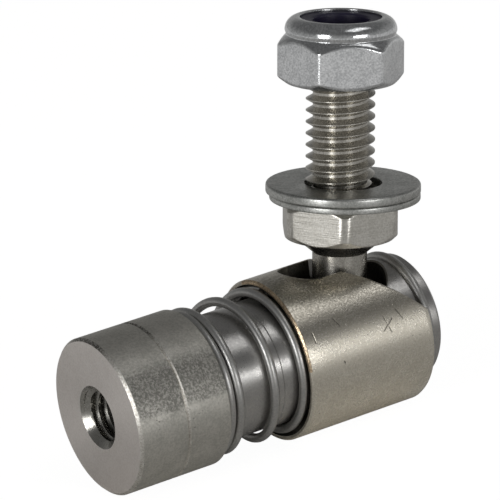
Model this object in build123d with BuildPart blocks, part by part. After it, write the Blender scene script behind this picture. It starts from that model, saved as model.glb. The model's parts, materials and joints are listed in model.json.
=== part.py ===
"""Quick-release angle ball joint: a ball stud held in a turned barrel by a sprung sleeve.

Frame: the origin is the centre of the ball, the barrel lies along X with its tapped
end toward -X, and +Z is up. The stud leans toward the barrel's plain end. Millimetres.
"""
from build123d import *
from math import cos, degrees, pi, radians, sin, tan
import os

os.makedirs("parts", exist_ok=True)

# Ball and stud, measured along the stud from the ball's centre
stud_lean = 8.0  # degrees from upright, toward the plain end
ball_radius = 4.5
neck_radius = 2.35
neck_rise = 0.46  # from the top of the sleeve to the cone
cone_height = 1.3
cone_top_radius = 4.0
hex_height = 3.3
hex_flats = 9.45
hex_corner = 0.565  # how far the turned corners stand out past the flats
hex_bevel = 0.6
hex_turn = 0.5  # degrees about the stud
shank_radius = 2.95
shank_length = 13.4
shank_bevel = 0.6
undercut_depth = 0.55
undercut_length = 1.1

# Two plain washers on the hexagon, each resting against the shank
washer_gap = 0.02
washer_edge = 0.08
washer_touch = 0.085
washer_shift_turn = -34.0  # degrees about the stud
lower_washer_radius = 6.45
lower_washer_play = 0.5
lower_washer_thickness = 0.58
upper_washer_radius = 6.62
upper_washer_play = 0.35
upper_washer_thickness = 0.8

# Lock nut and its nylon ring
nut_lift = 8.75  # clear thread between the washers and the nut
nut_flats = 9.6
nut_hex_height = 3.97
nut_bevel = 0.75
blank_margin = 0.01  # the turned blank past the nut's corners
nut_turn = 35.9  # degrees about the stud
nut_bore_clearance = 0.05
nut_countersink = 0.35
collar_inset = 0.05
collar_waist = 0.1
collar_flare = 0.3
collar_root = 0.5  # how far the collar reaches down into the hexagon
collar_height = 1.62
collar_round = 1.0
collar_wall = 0.8
lip_cover = 0.48
lip_thickness = 0.22
lip_slope = 0.05
insert_grip = 0.53  # how far the nylon reaches in past the shank's surface
insert_height = 1.12
insert_clearance = 0.03

# Barrel body
barrel_front = 24.45  # ball centre to the tapped end's face
head_length = 8.88
front_bevel = 0.25
mark_from_front = 4.75  # fine groove round the head
mark_width = 0.3
mark_depth = 0.12
shoulder_height = 1.3
shoulder_bevel = 0.12
relief_depth = 0.07
relief_length = 6.15
pocket_clearance = 0.06
pocket_wall = 0.94  # between the ball pocket and the outside of the stem
end_land = 1.02
rear_bevel = 0.3
thread_minor_radius = 2.1  # M5 x 0.8, left plain here
thread_depth = 12.0
drill_point = 1.2
countersink_depth = 0.65

# Retaining ring in its groove
ring_wire = 0.85
ring_land = 1.0  # between the ball pocket and the ring's plane
ring_seat_depth = 0.4
ring_gap = 30.0  # degrees left open underneath
ring_play = 0.02

# Spring
spring_wire = 0.8
spring_play = 0.18  # between the coils and the stem
spring_lift = 0.12  # the loose coils stand this much off centre
spring_end_gap = 0.02
closed_pitch = 0.88
middle_coil = 0.55  # share of the open stretch before the loose coil
coil_rest_angle = 80.0  # degrees from the top where each coil lies square
points_per_turn = 12

# Locking sleeve
sleeve_length = 12.7
sleeve_clearance = 0.06
sleeve_ring_gap = 0.08
sleeve_front_bevel = 0.15
sleeve_rear_bevel = 0.25
spring_seat_depth = 1.05
spring_seat_clearance = 0.1
spring_seat_wall = 0.39
slot_clearance = 0.1
slot_overrun = 0.49  # from the front of the ball to the slot's round end
flare_start = 0.7  # ball centre forward to where the slot begins to flare
flare_angle = 46.4  # degrees between the flared edge and the barrel, laid flat
flare_steps = 6
flare_overrun = 0.2  # past the rear end
cut_reach = 1.3  # the slot's cuts end this many sleeve radii out
cut_peak = 1.7

# Derived places along and around the barrel
pocket_radius = ball_radius + pocket_clearance
stem_radius = pocket_radius + pocket_wall
barrel_radius = stem_radius + shoulder_height
shoulder = head_length - barrel_front
relief_end = shoulder + relief_length
ring_centre = pocket_radius + ring_land
ring_groove_radius = stem_radius - ring_seat_depth
ring_radius = ring_groove_radius + ring_play + ring_wire / 2
stem_rear = ring_centre + ring_wire / 2 + end_land
spring_radius = stem_radius + spring_play + spring_wire / 2
spring_seat_radius = spring_radius + spring_lift + spring_wire / 2 + spring_seat_clearance
sleeve_bore = stem_radius + sleeve_clearance
sleeve_radius = spring_seat_radius + spring_seat_wall
sleeve_rear = ring_centre - ring_wire / 2 - sleeve_ring_gap
sleeve_front = sleeve_rear - sleeve_length
spring_seat = sleeve_front + spring_seat_depth
slot_half_width = neck_radius + slot_clearance
slot_front = ball_radius + slot_overrun
flare_rate = degrees(tan(radians(flare_angle)) / sleeve_radius)

# Derived places along the stud
stud_axis = Vector(sin(radians(stud_lean)), 0, cos(radians(stud_lean)))
cone_bottom = sleeve_radius + neck_rise
hex_bottom = cone_bottom + cone_height
hex_top = hex_bottom + hex_height
lower_washer_bottom = hex_top + washer_gap
upper_washer_bottom = lower_washer_bottom + lower_washer_thickness + washer_gap
washers_top = upper_washer_bottom + upper_washer_thickness
nut_bottom = washers_top + nut_lift
nut_hex_top = nut_bottom + nut_hex_height
nut_top = nut_hex_top + collar_height
nut_bore = shank_radius + nut_bore_clearance
collar_radius = nut_flats / 2 - collar_inset
insert_radius = collar_radius - collar_wall
insert_seat = nut_top - lip_thickness - insert_height - 2 * insert_clearance


def stud_plane(height):
    """Return the plane square to the stud at a height above the ball's centre."""
    return Plane(origin=stud_axis * height, x_dir=(stud_axis.Z, 0, -stud_axis.X), z_dir=stud_axis)


# The stud's own upright plane: its first axis points outward, its second along the stud
stud_profile = Plane(origin=(0, 0, 0), x_dir=(stud_axis.Z, 0, -stud_axis.X), z_dir=(0, -1, 0))
stud_line = Axis((0, 0, 0), stud_axis)


def bevelled_blank(bottom, top, flats, widest, bevel):
    """Outline of a turned blank whose bevels run in to the width across the flats."""
    inner = flats / 2
    return [
        (0, bottom),
        (inner, bottom),
        (widest, bottom + bevel),
        (widest, top - bevel),
        (inner, top),
        (0, top),
    ]


# Ball stud: ball, neck, cone, hexagon and shank in one piece
with BuildPart() as ball_stud:
    with BuildSketch(stud_profile):
        with BuildLine():
            Polyline(
                (0, 0),
                (neck_radius, 0),
                (neck_radius, cone_bottom),
                (cone_top_radius, hex_bottom),
                (cone_top_radius, hex_top),
                (shank_radius - undercut_depth, hex_top),
                (shank_radius - undercut_depth, hex_top + undercut_length),
                (shank_radius, hex_top + undercut_length + undercut_depth),
                (shank_radius, hex_top + shank_length - shank_bevel),
                (shank_radius - shank_bevel, hex_top + shank_length),
                (0, hex_top + shank_length),
                close=True,
            )
        make_face()
    revolve(axis=stud_line)
    Sphere(ball_radius)
    with BuildPart(mode=Mode.PRIVATE) as hexagon:
        with BuildSketch(stud_plane(hex_bottom)):
            RegularPolygon(hex_flats / 2, 6, major_radius=False, rotation=hex_turn)
        extrude(amount=hex_height)
        with BuildSketch(stud_profile):
            with BuildLine():
                Polyline(
                    *bevelled_blank(hex_bottom, hex_top, hex_flats, hex_flats / 2 + hex_corner, hex_bevel),
                    close=True,
                )
            make_face()
        revolve(axis=stud_line, mode=Mode.INTERSECT)
    add(hexagon.part)
ball_stud.part.label = "ball_stud"
export_step(ball_stud.part, "parts/ball_stud.step")


# Two plain washers, each resting against the shank and so a little off centre
washers = {
    "lower_washer": (lower_washer_bottom, lower_washer_radius, lower_washer_play, lower_washer_thickness),
    "upper_washer": (upper_washer_bottom, upper_washer_radius, upper_washer_play, upper_washer_thickness),
}
for name, (bottom, radius, play, thickness) in washers.items():
    shift = play - washer_touch
    with BuildPart() as washer:
        with BuildSketch(stud_plane(bottom)):
            with PolarLocations(shift, 1, start_angle=washer_shift_turn):
                Circle(radius)
                Circle(shank_radius + play, mode=Mode.SUBTRACT)
        extrude(amount=thickness)
        rims = edges().filter_by(GeomType.CIRCLE).group_by(SortBy.RADIUS)[-1]
        chamfer(rims, washer_edge)
    washer.part.label = name
    export_step(washer.part, f"parts/{name}.step")

# Lock nut: bevelled hexagon under a rolled collar that holds the nylon ring
nut_corner = nut_flats / 2 / cos(pi / 6)
lip_radius = insert_radius - lip_cover
with BuildPart() as lock_nut:
    with BuildSketch(stud_plane(nut_bottom)):
        RegularPolygon(nut_flats / 2, 6, major_radius=False, rotation=nut_turn)
    extrude(amount=nut_hex_height)
    with BuildSketch(stud_profile):
        with BuildLine():
            Polyline(
                *bevelled_blank(nut_bottom, nut_hex_top, nut_flats, nut_corner + blank_margin, nut_bevel),
                close=True,
            )
        make_face()
    revolve(axis=stud_line, mode=Mode.INTERSECT)
    with BuildSketch(stud_profile):
        with BuildLine():
            Polyline(
                (0, nut_hex_top - collar_root),
                (collar_radius - collar_waist, nut_hex_top - collar_root),
                (collar_radius - collar_waist, nut_hex_top),
                (collar_radius, nut_hex_top + collar_flare),
                (collar_radius, nut_top - collar_round),
            )
            RadiusArc(
                (collar_radius, nut_top - collar_round),
                (collar_radius - collar_round, nut_top),
                -collar_round,
            )
            Polyline(
                (collar_radius - collar_round, nut_top),
                (lip_radius, nut_top - lip_slope),
                (lip_radius, nut_top - lip_thickness),
                (0, nut_top - lip_thickness),
                (0, nut_hex_top - collar_root),
            )
        make_face()
    revolve(axis=stud_line)
    with BuildSketch(stud_profile):
        with BuildLine():
            Polyline(
                (0, nut_bottom),
                (nut_bore + nut_countersink, nut_bottom),
                (nut_bore, nut_bottom + nut_countersink),
                (nut_bore, insert_seat),
                (insert_radius + insert_clearance, insert_seat),
                (insert_radius + insert_clearance, nut_top - lip_thickness),
                (0, nut_top - lip_thickness),
                close=True,
            )
        make_face()
    revolve(axis=stud_line, mode=Mode.SUBTRACT)
lock_nut.part.label = "lock_nut"
export_step(lock_nut.part, "parts/lock_nut.step")

with BuildPart() as nylon_insert:
    with BuildSketch(stud_plane(insert_seat + insert_clearance)):
        Circle(insert_radius)
        Circle(shank_radius - insert_grip, mode=Mode.SUBTRACT)
    extrude(amount=insert_height)
nylon_insert.part.label = "nylon_insert"
export_step(nylon_insert.part, "parts/nylon_insert.step")

# Barrel body: turned head and stem, tapped at the front, with a round ball pocket
countersink_radius = thread_minor_radius + countersink_depth
mark_centre = mark_from_front - barrel_front
with BuildPart() as barrel_body:
    with BuildSketch(Plane.XZ):
        with BuildLine():
            Polyline(
                (-barrel_front + countersink_depth, thread_minor_radius),
                (-barrel_front, countersink_radius),
                (-barrel_front, barrel_radius - front_bevel),
                (-barrel_front + front_bevel, barrel_radius),
                (mark_centre - mark_width / 2, barrel_radius),
                (mark_centre, barrel_radius - mark_depth),
                (mark_centre + mark_width / 2, barrel_radius),
                (shoulder - shoulder_bevel, barrel_radius),
                (shoulder, barrel_radius - shoulder_bevel),
                (shoulder, stem_radius - relief_depth),
                (relief_end, stem_radius - relief_depth),
                (relief_end + relief_depth, stem_radius),
                (stem_rear - rear_bevel, stem_radius),
                (stem_rear, stem_radius - rear_bevel),
                (stem_rear, 0),
                (-barrel_front + thread_depth + drill_point, 0),
                (-barrel_front + thread_depth, thread_minor_radius),
                close=True,
            )
        make_face()
    revolve(axis=Axis.X)
    # Groove for the wire ring
    with BuildSketch(Plane.XZ):
        with Locations((ring_centre, ring_radius)):
            Circle(ring_wire / 2 + ring_play)
    revolve(axis=Axis.X, mode=Mode.SUBTRACT)
    # Ball pocket: a straight bore down to a spherical seat
    Sphere(pocket_radius, mode=Mode.SUBTRACT)
    with BuildSketch(Plane.XY):
        Circle(pocket_radius)
    extrude(amount=barrel_radius, mode=Mode.SUBTRACT)
barrel_body.part.label = "barrel_body"
export_step(barrel_body.part, "parts/barrel_body.step")


def flare_outline(x):
    """Return the slot's section at x: its walls swing apart round the sleeve as it flares."""
    swing = radians(flare_rate * (x + flare_start))
    reach = cut_reach * sleeve_radius
    foot = (slot_half_width * cos(swing), -slot_half_width * sin(swing))
    brow = (foot[0] + reach * sin(swing), foot[1] + reach * cos(swing))
    peak = (0, cut_peak * sleeve_radius)
    return [(-foot[0], foot[1]), foot, brow, peak, (-brow[0], brow[1])]


# Locking sleeve: a tube with a spring seat in front and a keyhole slot on top
with BuildPart() as locking_sleeve:
    with BuildSketch(Plane.XZ):
        with BuildLine():
            Polyline(
                (spring_seat, sleeve_bore),
                (spring_seat, spring_seat_radius),
                (sleeve_front, spring_seat_radius),
                (sleeve_front, sleeve_radius - sleeve_front_bevel),
                (sleeve_front + sleeve_front_bevel, sleeve_radius),
                (sleeve_rear - sleeve_rear_bevel, sleeve_radius),
                (sleeve_rear, sleeve_radius - sleeve_rear_bevel),
                (sleeve_rear, sleeve_bore + sleeve_rear_bevel),
                (sleeve_rear - sleeve_rear_bevel, sleeve_bore),
                close=True,
            )
        make_face()
    revolve(axis=Axis.X)
    # Round-ended slot just wider than the neck
    with BuildSketch(Plane.XY):
        with Locations((slot_half_width - slot_front, 0)):
            Circle(slot_half_width)
        with Locations((-flare_start, 0)):
            Rectangle(
                slot_front - flare_start - slot_half_width,
                2 * slot_half_width,
                align=(Align.MAX, Align.CENTER),
            )
    extrude(amount=cut_reach * sleeve_radius, mode=Mode.SUBTRACT)
    # The slot flares toward the open rear end
    flare_length = sleeve_rear + flare_start + flare_overrun
    for step in range(flare_steps + 1):
        place = flare_length * step / flare_steps - flare_start
        with BuildSketch(Plane(origin=(place, 0, 0), x_dir=(0, 1, 0), z_dir=(1, 0, 0))):
            Polygon(*flare_outline(place), align=None)
    loft(ruled=True, mode=Mode.SUBTRACT)
locking_sleeve.part.label = "locking_sleeve"
export_step(locking_sleeve.part, "parts/locking_sleeve.step")

# Retaining ring: a round wire ring, open underneath
with BuildPart() as retaining_ring:
    with BuildSketch(Plane.XZ.rotated((180 + ring_gap / 2, 0, 0))):
        with Locations((ring_centre, ring_radius)):
            Circle(ring_wire / 2)
    revolve(axis=Axis.X, revolution_arc=360 - ring_gap)
retaining_ring.part.label = "retaining_ring"
export_step(retaining_ring.part, "parts/retaining_ring.step")

# Spring: closed coils at both ends, and one loose coil between them
first_coil = shoulder + spring_wire / 2 + spring_end_gap
last_coil = spring_seat - spring_wire / 2 - spring_end_gap
second_coil = first_coil + closed_pitch
fourth_coil = last_coil - closed_pitch
third_coil = second_coil + middle_coil * (fourth_coil - second_coil)
coil_places = [first_coil, second_coil, third_coil, fourth_coil, last_coil]
spring_turns = len(coil_places) - 1


def spring_point(angle):
    """Return a point of the wire's centre line at an angle in degrees round the barrel."""
    turns = (angle - coil_rest_angle) / 360
    coil = min(max(int(turns // 1), 0), spring_turns - 1)
    share = max(turns - coil, 0)
    climb = share - sin(2 * pi * share) / (2 * pi)
    x = coil_places[coil] + (coil_places[coil + 1] - coil_places[coil]) * climb
    turn = radians(angle)
    return (x, -spring_radius * sin(turn), spring_radius * cos(turn) + spring_lift)


with BuildPart() as sleeve_spring:
    with BuildLine() as spring_line:
        steps = range(spring_turns * points_per_turn + 1)
        wire_line = Spline(*[spring_point(360 * step / points_per_turn) for step in steps])
    with BuildSketch(Plane(origin=wire_line @ 0, z_dir=wire_line % 0)):
        Circle(spring_wire / 2)
    sweep()
sleeve_spring.part.label = "sleeve_spring"
export_step(sleeve_spring.part, "parts/sleeve_spring.step")
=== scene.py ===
"""Looks of the quick-release angle ball joint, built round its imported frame.

Pieces are worked out in millimetres. The barrel's own axes are up, toward the viewer
and along the barrel. The stud's own axes are outward, across and along the stud.
"""
import bmesh
import bpy
import json
from math import acos, asin, atan2, cos, degrees, floor, hypot, pi, radians, sin, sqrt, tan
from mathutils import Matrix, Vector, noise
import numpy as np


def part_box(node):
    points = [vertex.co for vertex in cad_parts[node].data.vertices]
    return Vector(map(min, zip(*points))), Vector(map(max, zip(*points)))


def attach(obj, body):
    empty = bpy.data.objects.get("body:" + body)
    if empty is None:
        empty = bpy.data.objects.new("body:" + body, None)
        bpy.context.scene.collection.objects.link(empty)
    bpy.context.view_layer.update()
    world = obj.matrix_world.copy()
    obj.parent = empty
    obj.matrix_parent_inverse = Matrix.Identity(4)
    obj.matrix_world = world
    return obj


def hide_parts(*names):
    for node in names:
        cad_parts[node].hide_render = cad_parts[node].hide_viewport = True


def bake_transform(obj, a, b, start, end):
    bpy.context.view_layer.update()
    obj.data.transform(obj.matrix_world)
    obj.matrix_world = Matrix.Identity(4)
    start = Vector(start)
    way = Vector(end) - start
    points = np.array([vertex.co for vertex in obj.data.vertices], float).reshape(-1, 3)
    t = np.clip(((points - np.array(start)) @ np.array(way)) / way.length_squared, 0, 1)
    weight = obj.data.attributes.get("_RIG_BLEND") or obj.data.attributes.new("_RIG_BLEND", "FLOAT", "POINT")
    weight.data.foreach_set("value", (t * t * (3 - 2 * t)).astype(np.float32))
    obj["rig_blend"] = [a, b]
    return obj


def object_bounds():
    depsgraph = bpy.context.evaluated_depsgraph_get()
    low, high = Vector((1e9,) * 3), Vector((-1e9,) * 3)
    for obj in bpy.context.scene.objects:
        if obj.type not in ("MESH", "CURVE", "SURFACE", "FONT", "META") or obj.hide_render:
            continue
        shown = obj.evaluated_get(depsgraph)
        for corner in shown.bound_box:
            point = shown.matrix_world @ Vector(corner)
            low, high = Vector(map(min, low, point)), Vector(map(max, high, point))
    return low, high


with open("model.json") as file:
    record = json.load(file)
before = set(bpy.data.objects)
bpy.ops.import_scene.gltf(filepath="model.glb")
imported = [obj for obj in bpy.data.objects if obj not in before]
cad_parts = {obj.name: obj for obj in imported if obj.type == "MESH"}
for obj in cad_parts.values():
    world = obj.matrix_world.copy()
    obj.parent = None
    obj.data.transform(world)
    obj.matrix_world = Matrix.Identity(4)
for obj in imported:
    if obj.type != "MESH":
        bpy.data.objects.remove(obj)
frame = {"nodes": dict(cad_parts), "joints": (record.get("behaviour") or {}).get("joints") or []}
cad_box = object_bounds()

MM = 0.001
WELD = 2e-7
SHARP_ANGLE = 34

# ---------------------------------------------------------------- places taken from the frame


def joint_named(name):
    """The frame's joint of that name."""
    return next(j for j in frame["joints"] if j["name"] == name)


stud_axis = Vector(joint_named("stud_spin")["axis"]).normalized()
stud_outward = Vector((stud_axis.z, 0, -stud_axis.x))
stud_frame = Matrix((stud_outward, stud_axis.cross(stud_outward), stud_axis)).transposed().to_4x4()
barrel_frame = Matrix(((0, 0, 1), (0, -1, 0), (1, 0, 0))).to_4x4()


def measure(node, axes):
    """A node's lowest and highest place along its own axis, and its reach from it, in mm."""
    back = axes.inverted()
    own = [back @ v.co / MM for v in frame["nodes"][node].data.vertices]
    along = [p.z for p in own]
    return min(along), max(along), max(hypot(p.x, p.y) for p in own)


def middle(node, axes):
    """The middle of a node across its own axis, in mm."""
    back = axes.inverted()
    own = [back @ v.co / MM for v in frame["nodes"][node].data.vertices]
    return [(min(p[i] for p in own) + max(p[i] for p in own)) / 2 for i in (0, 1)]


# ---------------------------------------------------------------- mesh tools


class Shell:
    """Points and faces of one piece, gathered from grids of points."""

    def __init__(self):
        self.points = []
        self.faces = []

    def grid(self, rows, wrap=0):
        """Join rows of points into quads. A wrap also joins the last column to the first,
        that many rows further on, and -1 joins them in the same row."""
        base, width = len(self.points), len(rows[0])
        for row in rows:
            self.points.extend(row)
        for j in range(len(rows) - 1):
            for i in range(width if wrap else width - 1):
                turn, ahead = (0, max(wrap, 0)) if i == width - 1 else (i + 1, 0)
                if j + 1 + ahead < len(rows):
                    self.faces.append((
                        base + j * width + i,
                        base + (j + ahead) * width + turn,
                        base + (j + 1 + ahead) * width + turn,
                        base + (j + 1) * width + i,
                    ))

    def polygon(self, points):
        """Add one flat face."""
        base = len(self.points)
        self.points.extend(points)
        self.faces.append(tuple(range(base, len(self.points))))

    def piece(self, name, axes, materials, pick=None, sharp=SHARP_ANGLE):
        """Weld the grids into one mesh piece. pick gives a face's material from its centre."""
        mesh = bpy.data.meshes.new(name)
        mesh.from_pydata([Vector(p) * MM for p in self.points], [], self.faces)
        work = bmesh.new()
        work.from_mesh(mesh)
        bmesh.ops.remove_doubles(work, verts=work.verts, dist=WELD)
        bmesh.ops.dissolve_degenerate(work, edges=work.edges, dist=WELD)
        bmesh.ops.recalc_face_normals(work, faces=work.faces)
        work.to_mesh(mesh)
        work.free()
        for material in materials:
            mesh.materials.append(material)
        if pick:
            for face in mesh.polygons:
                face.material_index = pick(face.center / MM)
        mesh.shade_smooth()
        mesh.set_sharp_from_angle(angle=radians(sharp))
        piece = bpy.data.objects.new(name, mesh)
        piece.matrix_world = axes
        bpy.context.scene.collection.objects.link(piece)
        return piece


def polar(radius, angle, height):
    """A point from its radius, its angle in radians and its height."""
    return (radius * cos(angle), radius * sin(angle), height)


def rounded(corners, steps=4):
    """The outline through corners of (radius, height, rounding), with each corner rounded."""
    outline = [corners[0][:2]]
    for before, (r, z, size), after in zip(corners, corners[1:], corners[2:]):
        here = Vector((r, z))
        to_before = Vector(before[:2]) - here
        to_after = Vector(after[:2]) - here
        if size <= 0:
            outline.append((r, z))
            continue
        half = to_before.angle(to_after) / 2
        reach = min(size / tan(half), 0.49 * to_before.length, 0.49 * to_after.length)
        start = here + to_before.normalized() * reach
        end = here + to_after.normalized() * reach
        for step in range(steps + 1):
            share = step / steps
            near = start.lerp(here, share)
            far = here.lerp(end, share)
            outline.append(tuple(near.lerp(far, share)))
    outline.append(corners[-1][:2])
    return outline


def lathe(outline, columns, start=0.0, shape=None, centre=(0, 0)):
    """Rows of points that turn an outline of (radius, height) round the axis."""
    rows = []
    for r, z in outline:
        row = []
        for column in range(columns):
            angle = start + 2 * pi * column / columns
            x, y, height = polar(shape(r, z, angle) if shape else r, angle, z)
            row.append((x + centre[0], y + centre[1], height))
        rows.append(row)
    return rows


def softmin(a, b, size):
    """The smaller of two lengths, with the corner between them rounded."""
    blend = max(size - abs(a - b), 0) / size
    return min(a, b) - blend * blend * size / 4


def hexagon_reach(flats, turn, angle, size):
    """Reach of a hexagon in a direction, with its corners rounded."""
    off = (angle - turn) % (pi / 3)
    one = flats / 2 / cos(off)
    other = flats / 2 / cos(pi / 3 - off)
    return softmin(one, other, size)


THREAD_STEPS = (0, 0.035, 0.1, 0.18, 0.26, 0.34, 0.39, 0.5, 0.61, 0.66, 0.74, 0.82, 0.9, 0.965)


def thread_share(step):
    """How far out a 60 degree thread stands at a share of its pitch, from 0 to 1."""
    off = min(step, 1 - step)
    return min(max(1 - (off - 0.035) / 0.355, 0), 1)


def thread_rows(pitch, low, high, bottom, top, lead, limit, columns, start=0.0):
    """Rows of a right-hand thread. limit trims the radius at the thread's ends."""
    first = floor((bottom - lead) / pitch) - 2
    turns = floor((top - bottom) / pitch) + 5
    rows = []
    for turn in range(first, first + turns):
        for step in THREAD_STEPS:
            row = []
            for column in range(columns):
                spun = column / columns
                z = min(max(lead + pitch * (turn + step + spun), bottom), top)
                radius = limit(z, low + (high - low) * thread_share(step))
                row.append(polar(radius, start + 2 * pi * spun, z))
            rows.append(row)
    return rows


# ---------------------------------------------------------------- materials


def node(tree, kind, inputs=None, **settings):
    """Add a shader node, set its inputs and settings, and return it."""
    made = tree.nodes.new("ShaderNode" + kind)
    for key, value in settings.items():
        setattr(made, key, value)
    for key, value in (inputs or {}).items():
        if isinstance(value, bpy.types.NodeSocket):
            tree.links.new(value, made.inputs[key])
        else:
            made.inputs[key].default_value = value
    return made


def noise_out(tree, where, stretch, detail=2.0, rough=0.5):
    """A noise from 0 to 1, with its own scale per mm along each axis."""
    scaled = node(tree, "Mapping", {"Vector": where, "Scale": [s / MM for s in stretch]})
    made = node(tree, "TexNoise", {"Vector": scaled.outputs[0], "Scale": 1.0, "Detail": detail, "Roughness": rough})
    return made.outputs["Fac"]


def ramp(tree, value, low, high, to_low=0.0, to_high=1.0):
    """Map a value smoothly from one range to another."""
    made = node(tree, "MapRange", {
        "Value": value, "From Min": low, "From Max": high, "To Min": to_low, "To Max": to_high,
    }, interpolation_type="SMOOTHSTEP")
    return made.outputs[0]


def math(tree, operation, a, b=0.0):
    """One sum or product of two values."""
    return node(tree, "Math", {0: a, 1: b}, operation=operation).outputs[0]


def mix_colour(tree, share, one, other):
    """Blend two colours."""
    made = node(tree, "Mix", {0: share, 6: one, 7: other}, data_type="RGBA")
    return made.outputs[2]


def bump(tree, height, distance, normal=None, strength=1.0):
    """Raise the surface by a height from 0 to 1, at a full depth in mm."""
    inputs = {"Height": height, "Distance": distance * MM, "Strength": strength}
    if normal:
        inputs["Normal"] = normal
    return node(tree, "Bump", inputs).outputs[0]


def rgb(r, g, b):
    """A colour with full alpha."""
    return (r, g, b, 1.0)


def scratch_mask(tree, where, marks, radius):
    """A mask of straight scratches. Each is two places along a cylinder in mm, each with its
    angle in degrees from the top toward the viewer, and half the scratch's width in mm."""
    whole = None
    for along_a, angle_a, along_b, angle_b, width in marks:
        ends = []
        for along, angle in ((along_a, angle_a), (along_b, angle_b)):
            turn = radians(angle)
            ends.append(Vector((radius * cos(turn), radius * sin(turn), along)) * MM)
        start, run = ends[0], ends[1] - ends[0]
        here = node(tree, "VectorMath", {0: where, 1: start}, operation="SUBTRACT").outputs[0]
        dot = node(tree, "VectorMath", {0: here, 1: run / run.length_squared}, operation="DOT_PRODUCT")
        share = node(tree, "Clamp", {"Value": dot.outputs["Value"]}).outputs[0]
        foot = node(tree, "VectorMath", {0: run, "Scale": share}, operation="SCALE").outputs[0]
        gap = node(tree, "VectorMath", {0: here, 1: foot}, operation="DISTANCE").outputs["Value"]
        mask = ramp(tree, gap, width * MM, width * MM * 0.4)
        whole = math(tree, "MAXIMUM", whole, mask) if whole else mask
    return whole


def metal(name, pale, dark, roughness, spread=0.1, grain=0.003, grain_scale=6.0, lines=None,
          line_depth=0.002, pits=0.0, patch=0.7, patchy=0.3, contrast=0.14, turned=0.0, marks=None,
          painted_shade=None):
    """A worn metal: patches and grain in its colour, fine lines, pits and uneven gloss.
    turned spreads its highlights across lines that run round the piece's own axis, and its last
    setting darkens it with painted shade between two angles from the top, each with the angle where it has faded
    out."""
    material = bpy.data.materials.new(name)
    material.use_nodes = True
    tree = material.node_tree
    tree.nodes.clear()
    where = node(tree, "TexCoord").outputs["Object"]
    patches = noise_out(tree, where, (patch,) * 3, 5.0, 0.65)
    speckle = noise_out(tree, where, (grain_scale,) * 3, 3.0, 0.7)
    shade = math(tree, "ADD", math(tree, "MULTIPLY", patches, patchy),
                 math(tree, "MULTIPLY", speckle, 1 - patchy))
    colour = mix_colour(tree, ramp(tree, shade, 0.5 - contrast, 0.5 + contrast), rgb(*dark), rgb(*pale))
    rough = ramp(tree, shade, 0.36, 0.64, roughness + spread / 2, roughness - spread / 2)
    normal = bump(tree, speckle, grain)
    if lines:
        normal = bump(tree, noise_out(tree, where, lines, 2.0, 0.6), line_depth, normal)
    if pits:
        cells = node(tree, "TexVoronoi", {
            "Vector": node(tree, "Mapping", {"Vector": where, "Scale": (2.6 / MM,) * 3}).outputs[0],
            "Scale": 1.0, "Randomness": 1.0,
        })
        rare = ramp(tree, noise_out(tree, where, (0.6,) * 3, 2.0), 0.66 - pits, 0.74 - pits)
        hole = ramp(tree, cells.outputs["Distance"], 0.16, 0.06)
        hole = math(tree, "MULTIPLY", hole, rare)
        colour = mix_colour(tree, hole, colour, rgb(*[c * 0.25 for c in dark]))
        normal = bump(tree, math(tree, "SUBTRACT", 1.0, hole), 0.03, normal)
    if marks:
        mask = scratch_mask(tree, where, *marks)
        colour = mix_colour(tree, mask, colour, rgb(*[c * 0.45 for c in dark]))
        normal = bump(tree, math(tree, "SUBTRACT", 1.0, mask), 0.05, normal)
    # Painted shade: the colour darkens in a band of angles from the top, standing in for dark reflections and shade
    if painted_shade:
        depth, fade_in, start, end, fade_out = painted_shade
        side = node(tree, "SeparateXYZ", {0: where})
        angle = math(tree, "ARCTAN2", side.outputs[1], side.outputs[0])
        angle = math(tree, "ABSOLUTE", math(tree, "ADD", angle, math(tree, "MULTIPLY", patches, 0.12)))
        onset = ramp(tree, angle, radians(fade_in), radians(start))
        ebb = ramp(tree, angle, radians(end), radians(fade_out), 1.0, 0.0)
        shade_band = math(tree, "MULTIPLY", math(tree, "MULTIPLY", onset, ebb), depth)
        speckled_shade = math(tree, "MULTIPLY", shade_band, ramp(tree, speckle, 0.62, 0.42, 0.4, 1.0))
        colour = mix_colour(tree, speckled_shade, colour, rgb(*[c * 0.2 for c in dark]))
    inputs = {"Base Color": colour, "Metallic": 1.0, "Roughness": rough, "Normal": normal}
    if turned:
        inputs["Tangent"] = node(tree, "Tangent", direction_type="RADIAL", axis="Z").outputs[0]
        inputs["Anisotropic"] = turned
        inputs["Anisotropic Rotation"] = 0.25
    shader = node(tree, "BsdfPrincipled", inputs)
    node(tree, "OutputMaterial", {"Surface": shader.outputs[0]})
    return material


sleeve_marks = [
    (-4.14, 54.1, -3.74, 61.0, 0.06),
    (-6.51, 59.5, -6.49, 66.7, 0.09),
    (0.5, 64.6, 0.92, 76.3, 0.06),
    (1.31, 67.2, 0.18, 73.9, 0.06),
    (-4.25, 85.0, -4.18, 86.0, 0.09),
    (1.9, 62.0, 2.3, 69.5, 0.06),
]

# barrel_steel gets painted shade from 42 to 86 degrees from the top, full from 56 to 80
barrel_steel = metal("barrel_steel", (0.64, 0.62, 0.57), (0.46, 0.45, 0.41), 0.52, grain=0.035,
                     grain_scale=5, patchy=0.4, contrast=0.16, lines=(0.5, 0.5, 6), line_depth=0.003,
                     pits=0.1, painted_shade=(0.6, 42, 56, 80, 86))
face_steel = metal("face_steel", (0.95, 0.9, 0.86), (0.84, 0.79, 0.75), 0.42, grain=0.005, turned=0.5)
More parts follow.
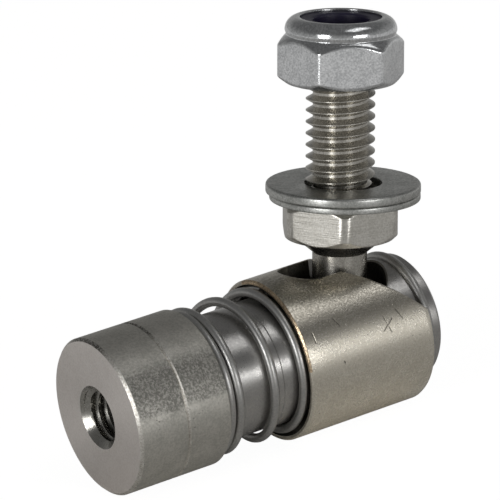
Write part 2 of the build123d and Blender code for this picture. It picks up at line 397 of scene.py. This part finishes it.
# edge_steel gets painted shade on its top, full to 14 degrees and gone by 32
edge_steel = metal("edge_steel", (0.85, 0.83, 0.78), (0.5, 0.47, 0.42), 0.42, grain=0.015,
                   painted_shade=(0.9, -1, 0, 14, 32))
stem_steel = metal("stem_steel", (0.56, 0.55, 0.53), (0.46, 0.45, 0.44), 0.32, grain=0.001,
                   lines=(0.3, 0.3, 14), line_depth=0.004, turned=0.6)
bore_steel = metal("bore_steel", (0.5, 0.49, 0.46), (0.35, 0.34, 0.31), 0.25, grain=0.001, turned=0.4)
# Painted shade: a dark copy of the steel for the barrel's ball pocket and the sleeve's bore and slot walls, where
# shade falls
recess_shade_steel = metal("recess_shade_steel", (0.2, 0.19, 0.17), (0.1, 0.095, 0.08), 0.4, grain=0.006)
# sleeve_steel gets painted shade over its top, full to 58 degrees and gone by 74
sleeve_steel = metal("sleeve_steel", (0.94, 0.89, 0.78), (0.72, 0.67, 0.57), 0.3, grain=0.01,
                     lines=(1.5, 1.5, 5), line_depth=0.003, pits=0.1, turned=0.3,
                     marks=(sleeve_marks, 7.09), painted_shade=(0.55, -2, 0, 58, 74))
# Painted highlight: a golden tint for the upper side of the sleeve's front rim
sleeve_rim_glint = metal("sleeve_rim_glint", (0.85, 0.66, 0.44), (0.25, 0.2, 0.15), 0.3, grain=0.01)
spring_steel = metal("spring_steel", (0.56, 0.55, 0.53), (0.44, 0.44, 0.43), 0.38, grain=0.001)
stud_steel = metal("stud_steel", (0.66, 0.64, 0.59), (0.42, 0.4, 0.36), 0.26, grain=0.001,
                   lines=(0.4, 0.4, 14), line_depth=0.003, turned=0.5)
milled_steel = metal("milled_steel", (0.82, 0.8, 0.75), (0.6, 0.58, 0.53), 0.36, grain=0.004,
                     lines=(0.25, 0.25, 7), line_depth=0.03, turned=0.6)
washer_steel = metal("washer_steel", (0.6, 0.6, 0.58), (0.34, 0.35, 0.33), 0.34, grain=0.006)
nut_steel = metal("nut_steel", (0.84, 0.85, 0.86), (0.5, 0.51, 0.52), 0.14, grain=0.008)
nylon = metal("nylon", (0.02, 0.015, 0.05), (0.01, 0.008, 0.03), 0.45, grain=0.002)
nylon.node_tree.nodes["Principled BSDF"].inputs["Metallic"].default_value = 0.0

# ---------------------------------------------------------------- ball stud

STUD_COLUMNS = 180
thread_pitch = 1.0
thread_depth = 0.6
stud_bottom, stud_top, _ = measure("ball_stud", stud_frame)
washer_low, washer_mid, lower_reach = measure("lower_washer", stud_frame)
_, washers_top, upper_reach = measure("upper_washer", stud_frame)
nut_low, nut_high, nut_reach = measure("lock_nut", stud_frame)

ball_radius = 4.5
neck_radius = 2.35
shank_radius = 2.95
hex_top = washer_low - 0.02
hex_bottom = hex_top - 3.3
cone_bottom = hex_bottom - 1.3
hex_flats = 9.45
hex_corner = 5.29
hex_bevel = 0.6
hex_turn = radians(30.5)
thread_lead = 0.9 - (145.5 / 360) * thread_pitch


def make_stud():
    """Ball, neck, cone, milled hexagon and threaded shank in one piece."""
    shell = Shell()
    join = sqrt(ball_radius**2 - neck_radius**2)
    lower = asin(join / ball_radius)
    outline = []
    for step in range(25):
        angle = -pi / 2 + (lower + pi / 2) * step / 24
        outline.append((ball_radius * cos(angle), ball_radius * sin(angle)))
    outline += rounded([
        (neck_radius, join, 0),
        (neck_radius, cone_bottom, 0.1),
        (3.72, hex_bottom - 0.16, 0.1),
        (4.0, hex_bottom, 0),
        (hex_flats / 2 - 0.05, hex_bottom, 0),
    ])[1:]
    inner, steps = hex_flats / 2 - 0.05, 10
    for step in range(1, steps + 1):
        share = step / steps
        outline.append((inner + (hex_corner - inner) * share, hex_bottom + hex_bevel * share))
    for step in range(steps + 1):
        share = step / steps
        outline.append((hex_corner + (inner - hex_corner) * share, hex_top - hex_bevel * (1 - share)))
    outline += [(3.2, hex_top), (2.4, hex_top), (2.4, hex_top + 1.05)]

    def milled(r, z, angle):
        if r > 4.3 and z >= hex_bottom - 0.01:
            return softmin(r, hexagon_reach(hex_flats, hex_turn, angle, 0.02), 0.05)
        return r

    shell.grid(lathe(outline, STUD_COLUMNS, hex_turn, milled), wrap=-1)
    start = hex_top + 1.05

    def ends(z, radius):
        """The undercut below the thread and the bevel on its end."""
        below = 2.4 + (z - start)
        above = 2.35 + (stud_top - z)
        return min(radius, below, above)

    shell.grid(
        thread_rows(thread_pitch, shank_radius - thread_depth, shank_radius, start, stud_top,
                    thread_lead, ends, STUD_COLUMNS, hex_turn),
        wrap=len(THREAD_STEPS),
    )
    shell.grid(lathe([(2.35, stud_top), (1.2, stud_top), (0, stud_top)], STUD_COLUMNS, hex_turn), wrap=-1)
    def pick(centre):
        inside = hex_bottom + 0.02 < centre.z < hex_top - 0.02
        return 1 if inside and hypot(centre.x, centre.y) > 4.3 else 0

    piece = shell.piece("threaded_ball_stud", stud_frame, [stud_steel, milled_steel], pick)
    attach(piece, "stud")
    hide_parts("ball_stud")


# ---------------------------------------------------------------- washers


def make_washer(name, node_name, bore, edge):
    """A stamped washer: its upper rim is rolled over and its lower rim is nearly square."""
    low, high, _ = measure(node_name, stud_frame)
    centre = middle(node_name, stud_frame)
    back = stud_frame.inverted()
    own = [back @ v.co / MM for v in frame["nodes"][node_name].data.vertices]
    radius = (max(p.y for p in own) - min(p.y for p in own)) / 2
    outline = rounded([
        (bore, (low + high) / 2, 0),
        (bore, low, 0.08),
        (radius, low, edge * 0.5),
        (radius, high, edge),
        (bore, high, 0.1),
        (bore, (low + high) / 2, 0),
    ])
    shell = Shell()
    shell.grid(lathe(outline, 160, centre=centre), wrap=-1)
    piece = shell.piece(name, stud_frame, [washer_steel])
    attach(piece, "washers")
    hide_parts(node_name)


# ---------------------------------------------------------------- lock nut

NUT_COLUMNS = 240
nut_flats = 9.6
nut_turn = radians(5.9)
nut_hex_top = nut_low + 3.97
collar_radius = 4.75
lip_radius = 3.47
nut_bore = 3.0


def make_nut():
    """Cold-formed hexagon under a rolled collar."""
    corner = nut_flats / 2 / cos(pi / 6) + 0.02
    bevel, inner = 0.75, nut_flats / 2 - 0.1
    seat, roll = nut_high - 1.42, 1.1
    outline = rounded([
        (nut_bore + 0.6, nut_low, 0),
        (inner, nut_low, 0.1),
        (corner, nut_low + bevel * 0.8, 0.25),
        (corner, nut_hex_top - bevel, 0.25),
        (inner + 0.02, nut_hex_top, 0.2),
        (collar_radius - 0.12, nut_hex_top + 0.12, 0.3),
        (collar_radius, nut_hex_top + 0.45, 0),
    ], 8)
    for step in range(13):
        turn = pi / 2 * step / 12
        outline.append((collar_radius - roll + roll * cos(turn), nut_high - 0.02 - roll + roll * sin(turn)))
    outline += rounded([
        outline[-1],
        (lip_radius, nut_high - 0.06, 0.08),
        (lip_radius, nut_high - 0.22, 0),
        (lip_radius + 0.4, nut_high - 0.22, 0),
        (lip_radius + 0.4, seat, 0),
        (nut_bore, seat, 0),
        (nut_bore, nut_low + 0.35, 0),
        (nut_bore + 0.6, nut_low, 0),
    ], 8)
    fine = []
    for (r0, z0), (r1, z1) in zip(outline, outline[1:]):
        steps = max(1, int(abs(z1 - z0) / 0.12)) if min(r0, r1) > 4.4 else 1
        fine += [(r0 + (r1 - r0) * s / steps, z0 + (z1 - z0) * s / steps) for s in range(steps)]
    fine.append(outline[-1])

    def formed(r, z, angle):
        if r > 4.4 and z <= nut_hex_top + 0.12:
            return softmin(r, hexagon_reach(nut_flats, nut_turn, angle, 0.4), 0.25)
        return r

    shell = Shell()
    shell.grid(lathe(fine, NUT_COLUMNS, nut_turn, formed), wrap=-1)
    piece = shell.piece("lock_nut_shell", stud_frame, [nut_steel], sharp=50)
    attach(piece, "nut")
    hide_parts("lock_nut")


def make_nylon_ring():
    """The nylon ring under the nut's lip."""
    low, high, reach = measure("nylon_insert", stud_frame)
    bore = 2.42
    outline = rounded([
        (bore, (low + high) / 2, 0),
        (bore, low, 0.1),
        (reach, low, 0.05),
        (reach, high, 0.05),
        (bore, high, 0.25),
        (bore, (low + high) / 2, 0),
    ])
    shell = Shell()
    shell.grid(lathe(outline, 128), wrap=-1)
    piece = shell.piece("nylon_ring", stud_frame, [nylon])
    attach(piece, "nut_carrier")
    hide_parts("nylon_insert")


# ---------------------------------------------------------------- barrel

BARREL_COLUMNS = 144
barrel_front, barrel_rear, barrel_radius = measure("barrel_body", barrel_frame)
stem_radius = 5.5
pocket_radius = 4.56
pocket_bevel = 0.13
shoulder = barrel_front + 8.87


def arc_row(x, radius, edge, columns):
    """A row of points at one place along the barrel, open at the top by an angle each way."""
    return [polar(radius, edge + (2 * pi - 2 * edge) * i / columns, x) for i in range(columns + 1)]


def pocket_row(step, steps, radius, size):
    """Where a round pocket of some size cuts a cylinder: its place and half its width."""
    turn = pi * step / steps
    return -size * cos(turn), size * sin(turn)


def make_barrel():
    """Turned head and stem, with the tapped hole in front and the ball pocket on top."""
    shell = Shell()
    columns, steps = BARREL_COLUMNS, 48
    mark = barrel_front + 4.75
    outline = rounded([
        (2.75, barrel_front, 0),
        (barrel_radius - 0.25, barrel_front, 0.05),
        (barrel_radius, barrel_front + 0.25, 0.08),
        (barrel_radius, mark - 0.17, 0.04),
        (barrel_radius - 0.11, mark, 0.03),
        (barrel_radius, mark + 0.13, 0.04),
        (barrel_radius, shoulder - 0.12, 0.05),
        (barrel_radius - 0.12, shoulder, 0.05),
        (stem_radius - 0.07, shoulder, 0),
        (stem_radius - 0.07, shoulder + 6.15, 0.02),
        (stem_radius, shoulder + 6.22, 0.02),
        (stem_radius, -pocket_radius - 0.3, 0),
    ])
    rows = [arc_row(x, r, 0, columns) for r, x in outline]
    for step in range(steps + 1):
        x, width = pocket_row(step, steps, stem_radius, pocket_radius + pocket_bevel)
        rows.append(arc_row(x, stem_radius, asin(width / stem_radius), columns))
    ring_centre, ring_middle, groove = 5.56, 5.545, 0.445
    cut = acos((stem_radius - ring_middle) / groove)
    outline = [(stem_radius, ring_centre - groove - 0.05)]
    for step in range(13):
        angle = cut + (2 * pi - 2 * cut) * step / 12
        outline.append((ring_middle + groove * cos(angle), ring_centre - groove * sin(angle)))
    outline += rounded([
        (stem_radius, ring_centre + groove + 0.05, 0),
        (stem_radius, barrel_rear - 0.3, 0.08),
        (stem_radius - 0.3, barrel_rear, 0.08),
        (2.0, barrel_rear, 0),
        (0.0, barrel_rear, 0),
    ])
    rows += [arc_row(x, r, 0, columns) for r, x in outline]
    shell.grid(rows)
    # The pocket: a bevelled mouth, a straight wall and a spherical seat
    for side in (1, -1):
        mouth = []
        for step in range(steps + 1):
            x, width = pocket_row(step, steps, stem_radius, pocket_radius + pocket_bevel)
            inner_x, inner = pocket_row(step, steps, stem_radius, pocket_radius)
            brow = sqrt(stem_radius**2 - width**2)
            sill = sqrt(stem_radius**2 - inner**2) - pocket_bevel
            line = [(brow, side * width, x), (sill, side * inner, inner_x)]
            line += [(sill * (1 - s / 6), side * inner, inner_x) for s in range(1, 7)]
            for depth in range(1, 17):
                dip = pi / 2 * depth / 16
                line.append((-pocket_radius * sin(dip), side * inner * cos(dip), inner_x * cos(dip)))
            mouth.append(line)
        shell.grid(mouth)
    # The tapped hole with its countersink and drilled end
    pitch, minor, major = 0.8, 2.1, 2.5
    end = barrel_front + 12.0

    def trim(z, radius):
        """The countersink opens the thread, and the drilled end closes it."""
        if z > end - pitch:
            radius = minor
        return max(radius, 2.75 - (z - barrel_front))

    shell.grid(
        thread_rows(pitch, minor, major, barrel_front, end, 0.0, trim, columns),
        wrap=len(THREAD_STEPS),
    )
    shell.grid(lathe([(minor, end), (0, end + 1.2)], columns), wrap=-1)

    def pick(centre):
        radius = hypot(centre.x, centre.y)
        if radius < 2.78 and centre.z < -8:
            return 3
        if centre.z < barrel_front + 0.02:
            return 1
        if centre.z < barrel_front + 0.26 or abs(centre.z - mark) < 0.17:
            return 2
        # The ball pocket gets the painted shade material
        if abs(centre.z) < pocket_radius + 0.2 and radius < stem_radius - 0.03:
            return 5
        return 4 if centre.z > shoulder + 0.01 else 0

    materials = [barrel_steel, face_steel, edge_steel, bore_steel, stem_steel, recess_shade_steel]
    piece = shell.piece("tapped_barrel", barrel_frame, materials, pick)
    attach(piece, "barrel")
    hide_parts("barrel_body")


# ---------------------------------------------------------------- sleeve

sleeve_front, sleeve_rear, sleeve_radius = measure("locking_sleeve", barrel_frame)
sleeve_bore = 5.56
seat_radius = 6.7
seat_depth = 1.05
slot_half = 2.45
slot_front = 4.99
slot_edge = 0.09
flare_start = -0.7
flare_rate = radians(8.5)


def slot_stations():
    """Places along the slot: first round its end, then along the straight and the flare."""
    turns = [("turn", pi / 2 * step / 16) for step in range(16)]
    straight_from, last = slot_half - slot_front, sleeve_rear - 0.25
    straight = [("run", straight_from + (flare_start - straight_from) * s / 4) for s in range(4)]
    flare = [("run", flare_start + (last - flare_start) * s / 24) for s in range(25)]
    return turns + straight + flare


def slot_cut(station, radius, grow):
    """Where the slot, grown by a bevel, cuts a radius: its place and its angle from the top."""
    kind, value = station
    half = slot_half + grow
    if kind == "turn":
        return slot_half - slot_front - half * cos(value), asin(half * sin(value) / radius)
    swing = max(value - flare_start, 0) * flare_rate
    return value, asin(half / radius) + swing


def make_sleeve():
    """A tube with a keyhole slot that flares round it, and a seat for the spring in front."""
    shell = Shell()
    columns = 144
    stations = slot_stations()
    tip = -slot_front - slot_edge
    outline = rounded([
        (seat_radius, sleeve_front + seat_depth, 0),
        (seat_radius, sleeve_front, 0.04),
        (sleeve_radius - 0.15, sleeve_front, 0.03),
        (sleeve_radius, sleeve_front + 0.15, 0.05),
        (sleeve_radius, tip - 0.2, 0),
    ])
    rows = [arc_row(x, r, 0, columns) for r, x in outline]
    for station in stations:
        x, edge = slot_cut(station, sleeve_radius, slot_edge)
        rows.append(arc_row(x, sleeve_radius, edge, columns))
    rear = ("run", sleeve_rear)
    rims = [(sleeve_radius - 0.08, -0.08), (sleeve_radius - 0.25, 0), (sleeve_bore + 0.25, 0)]
    rim_rows = []
    for radius, back_off in rims:
        x, edge = slot_cut(rear, radius, 0)
        rim_rows.append(arc_row(x + back_off, radius, edge, columns))
    rows += rim_rows
    for station in reversed(stations):
        x, edge = slot_cut(station, sleeve_bore, 0)
        rows.append(arc_row(x, sleeve_bore, edge, columns))
    rows.append(arc_row(sleeve_front + seat_depth, sleeve_bore, 0, columns))
    rows.append(arc_row(sleeve_front + seat_depth, seat_radius, 0, columns))
    shell.grid(rows)
    # The slot's walls, with a rounded brow
    for side in (1, -1):
        wall = []
        for station in stations:
            line = []
            cuts = [(sleeve_radius, slot_edge), (sleeve_radius - 0.02, slot_edge * 0.45)]
            cuts += [(sleeve_radius - slot_edge, 0.0), (sleeve_bore, 0.0)]
            for radius, grow in cuts:
                x, edge = slot_cut(station, radius, grow)
                line.append(polar(radius, side * edge, x))
            wall.append(line)
        shell.grid(wall)
        column = 0 if side == 1 else -1
        shell.polygon(wall[-1] + [row[column] for row in reversed(rim_rows)])

    def pick(centre):
        radius = hypot(centre.x, centre.y)
        angle = degrees(atan2(centre.y, centre.x))
        # The sleeve's bore and inner slot walls get the painted shade material
        if radius < sleeve_radius - slot_edge - 0.01 and sleeve_front + 0.2 < centre.z < sleeve_rear - 0.05:
            return 2
        # Only the front rim's upper side, from -20 to 84 degrees, gets the golden painted highlight
        rim = centre.z < sleeve_front + 0.16 and radius > seat_radius + 0.1
        return 1 if rim and -20 < angle < 84 else 0

    piece = shell.piece("slotted_sleeve", barrel_frame, [sleeve_steel, sleeve_rim_glint, recess_shade_steel], pick)
    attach(piece, "sleeve")
    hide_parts("locking_sleeve")


# ---------------------------------------------------------------- spring and ring


spring_lift = 0.12
coil_rest = radians(80)
coil_places = (-15.15, -14.27, -10.6, -7.895, -7.015)


def coil_at(turns):
    """Where the wire lies along the barrel after some turns."""
    coil = min(max(int(turns), 0), len(coil_places) - 2)
    share = max(turns - coil, 0)
    climb = share - sin(2 * pi * share) / (2 * pi)
    return coil_places[coil] + (coil_places[coil + 1] - coil_places[coil]) * climb


def make_spring():
    """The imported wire. Its end coils follow the barrel and the sleeve, and the loose coil
    between them moves by its share, wire section by wire section, so that it stays round."""
    source = frame["nodes"]["sleeve_spring"]
    piece = bpy.data.objects.new("coiled_spring", source.data.copy())
    bpy.context.scene.collection.objects.link(piece)
    piece.data.materials.clear()
    piece.data.materials.append(spring_steel)
    low, high = (corner.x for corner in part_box("sleeve_spring"))
    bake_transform(piece, "barrel", "sleeve", start=(low, 0, 0), end=(high, 0, 0))
    shares = piece.data.attributes["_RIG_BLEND"].data
    for vertex, share in zip(piece.data.vertices, shares):
        x, y, z = vertex.co / MM
        turn = (atan2(-y, z - spring_lift) - coil_rest) / (2 * pi) % 1
        near = min((coil_at(turn + k) for k in range(-1, 5)), key=lambda place: abs(place - x))
        free = (near - coil_places[1]) / (coil_places[3] - coil_places[1])
        share.value = min(max(free, 0), 1)
    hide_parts("sleeve_spring")


def dress_ring():
    """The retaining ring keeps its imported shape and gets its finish."""
    ring = frame["nodes"]["retaining_ring"]
    ring.data.materials.clear()
    ring.data.materials.append(spring_steel)


# ---------------------------------------------------------------- studio

view_target = Vector((-4.39, 5.68, 7.83)) * MM
view_distance = 328.46 * MM
view_azimuth = radians(-31.16)
view_elevation = radians(18.27)
view_roll = radians(-7.06)
view_angle = radians(7.478)


def make_camera():
    """A long lens from the front left, a little above and tipped."""
    level = Vector((sin(view_azimuth), -cos(view_azimuth), 0))
    back = level * cos(view_elevation) + Vector((0, 0, sin(view_elevation)))
    right = Vector((0, 0, 1)).cross(back).normalized()
    up = back.cross(right)
    turned = Matrix.Rotation(view_roll, 3, back)
    right, up = turned @ right, turned @ up
    lens = bpy.data.cameras.new("camera")
    lens.lens_unit = "FOV"
    lens.angle = view_angle
    lens.clip_start = 0.01
    camera = bpy.data.objects.new("camera", lens)
    pose = Matrix((right, up, back)).transposed().to_4x4()
    pose.translation = view_target + back * view_distance
    camera.matrix_world = pose
    bpy.context.scene.collection.objects.link(camera)
    bpy.context.scene.camera = camera


def softbox(name, azimuth, elevation, distance, width, height, strength):
    """An even panel of light that looks at the joint. Azimuth runs from the -Y side toward +X."""
    turn, rise = radians(azimuth), radians(elevation)
    toward = Vector((sin(turn) * cos(rise), -cos(turn) * cos(rise), sin(rise)))
    lamp = bpy.data.lights.new(name, "AREA")
    lamp.shape = "RECTANGLE"
    lamp.size, lamp.size_y = width, height
    lamp.energy = strength * width * height * pi
    light = bpy.data.objects.new(name, lamp)
    light.matrix_world = toward.to_track_quat("Z", "Y").to_matrix().to_4x4()
    light.matrix_world.translation = toward * distance
    bpy.context.scene.collection.objects.link(light)


def make_studio():
    """Pale floor, dim room and soft panels."""
    low = cad_box[0]
    mesh = bpy.data.meshes.new("floor")
    half, level = 4.0, low[2] - 0.00002
    mesh.from_pydata([(-half, -half, level), (half, -half, level), (half, half, level), (-half, half, level)],
                     [], [(0, 1, 2, 3)])
    floor_piece = bpy.data.objects.new("floor", mesh)
    bpy.context.scene.collection.objects.link(floor_piece)
    material = bpy.data.materials.new("floor")
    material.use_nodes = True
    tree = material.node_tree
    tree.nodes.clear()
    path = node(tree, "LightPath")
    paper = node(tree, "BsdfDiffuse", {"Color": rgb(0.82, 0.81, 0.79)})
    glow = node(tree, "Emission", {"Color": rgb(1, 1, 1), "Strength": 1.2})
    place = node(tree, "TexCoord").outputs["Object"]
    away = node(tree, "VectorMath", {0: place}, operation="LENGTH").outputs["Value"]
    mirrored = math(tree, "ADD", path.outputs["Is Glossy Ray"], path.outputs["Is Transmission Ray"])
    far_share = math(tree, "MULTIPLY", mirrored, ramp(tree, away, 0.02, 0.16, 0.0, 0.28))
    share = math(tree, "ADD", math(tree, "MULTIPLY", path.outputs["Is Camera Ray"], 0.8), far_share)
    surface = node(tree, "MixShader", {0: share, 1: paper.outputs[0], 2: glow.outputs[0]})
    node(tree, "OutputMaterial", {"Surface": surface.outputs[0]})
    mesh.materials.append(material)

    world = bpy.data.worlds.new("room")
    bpy.context.scene.world = world
    world.use_nodes = True
    tree = world.node_tree
    tree.nodes.clear()
    where = node(tree, "TexCoord").outputs["Generated"]
    height = node(tree, "SeparateXYZ", {0: where}).outputs[2]
    tone = mix_colour(tree, ramp(tree, height, 0.0, 0.6), rgb(0.32, 0.32, 0.315), rgb(0.13, 0.13, 0.13))
    seen = node(tree, "LightPath").outputs["Is Camera Ray"]
    tone = mix_colour(tree, seen, tone, rgb(1, 1, 1))
    room = node(tree, "Background", {"Color": tone, "Strength": 1.0})
    node(tree, "OutputWorld", {"Surface": room.outputs[0]})

    softbox("panel_left", -69, 14, 0.7, 0.22, 0.3, 6.0)
    softbox("panel_right", 8, 9, 0.7, 0.3, 0.15, 5.2)
    softbox("panel_top", 40, 60, 0.7, 0.5, 0.22, 1.15)


make_stud()
make_washer("washer_below", "lower_washer", 3.45, 0.2)
make_washer("washer_above", "upper_washer", 3.3, 0.25)
make_nut()
make_nylon_ring()
make_barrel()
make_sleeve()
make_spring()
dress_ring()
make_studio()
make_camera()
bpy.context.scene.view_settings.view_transform = "Standard"
